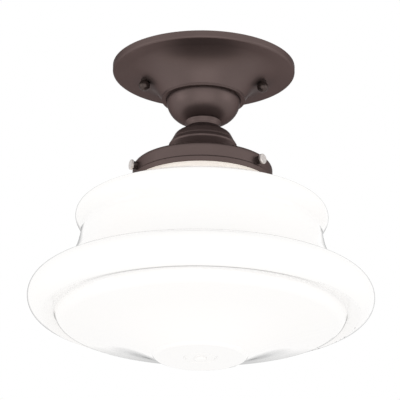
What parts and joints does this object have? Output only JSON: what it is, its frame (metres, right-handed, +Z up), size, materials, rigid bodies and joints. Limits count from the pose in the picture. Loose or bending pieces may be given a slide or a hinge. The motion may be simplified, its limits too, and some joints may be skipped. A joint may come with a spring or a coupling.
{
  "type": "semi flush ceiling light",
  "caption": "Semi flush ceiling light: spun bronze canopy and stepped fitter, shade held by thumb screws, blown opal glass shade with a waist and a rolled rim.",
  "frame": {"origin": "centre of the canopy's rim, in the plane of the ceiling", "axes": "+Z up into the ceiling along the light's axis; +X through the right-hand ball nut; the picture looks along +Y"},
  "size_m": [0.2538, 0.2538, 0.2306],
  "materials": {
    "bronze": "satin oil-rubbed bronze paint",
    "bronze_dark": "satin dark bronze",
    "zinc_steel": "zinc plated",
    "green_screw": "green coated",
    "nickel": "satin nickel plate",
    "brass": "bright pressed brass",
    "porcelain": "glazed porcelain",
    "opal_glass": "glossy opal white glass",
    "frosted_glass": "frosted bulb glass",
    "black_glass": "black vitrite"
  },
  "bodies": {
    "fixture": {"mounting_bracket": "zinc_steel", "ground_screw": "green_screw", "canopy_stud_left": "bronze_dark", "canopy_stud_right": "bronze_dark", "canopy": "bronze", "canopy_cup": "bronze", "collar": "bronze", "fitter_dome": "bronze", "shade_holder": "bronze", "screw_bush_1": "bronze_dark", "screw_bush_2": "bronze_dark", "screw_bush_3": "bronze_dark", "threaded_tube": "zinc_steel", "cup_washer": "zinc_steel", "cup_nut": "zinc_steel", "holder_washer": "zinc_steel", "holder_nut": "zinc_steel", "socket_strap": "zinc_steel", "socket_body": "porcelain", "socket_shell": "brass", "socket_contact": "brass", "socket_screw_left": "zinc_steel", "socket_screw_right": "zinc_steel", "terminal_screw_front": "brass", "terminal_screw_rear": "nickel"},
    "shade": {"glass_shade": "opal_glass"},
    "thumb_screw_1": {"thumb_screw_1": "nickel"},
    "thumb_screw_2": {"thumb_screw_2": "nickel"},
    "thumb_screw_3": {"thumb_screw_3": "nickel"},
    "ball_nut_left": {"ball_nut_left": "bronze_dark"},
    "ball_nut_right": {"ball_nut_right": "bronze_dark"},
    "bulb": {"bulb_glass": "frosted_glass", "bulb_cap": "nickel", "bulb_insulator": "black_glass", "bulb_contact": "nickel"}
  },
  "joints": [
    {"name": "shade_turn", "type": "hinge", "parent": "fixture", "child": "shade", "pos_m": [0, 0, 0], "axis": [0, 0, 1], "continuous": true},
    {"name": "thumb_screw_1_back_out", "type": "slide", "parent": "fixture", "child": "thumb_screw_1", "axis": [0.7782, -0.628, 0], "range_m": [0, 0.005]},
    {"name": "thumb_screw_2_back_out", "type": "slide", "parent": "fixture", "child": "thumb_screw_2", "axis": [0.1547, 0.988, 0], "range_m": [0, 0.005]},
    {"name": "thumb_screw_3_back_out", "type": "slide", "parent": "fixture", "child": "thumb_screw_3", "axis": [-0.933, -0.36, 0], "range_m": [0, 0.005]},
    {"name": "ball_nut_left_unscrew", "type": "slide", "parent": "fixture", "child": "ball_nut_left", "axis": [0, 0, -1], "range_m": [0, 0.006]},
    {"name": "ball_nut_right_unscrew", "type": "slide", "parent": "fixture", "child": "ball_nut_right", "axis": [0, 0, -1], "range_m": [0, 0.006]},
    {"name": "bulb_unscrew", "type": "slide", "parent": "fixture", "child": "bulb", "axis": [0, 0, -1], "range_m": [0, 0.018]}
  ]
}
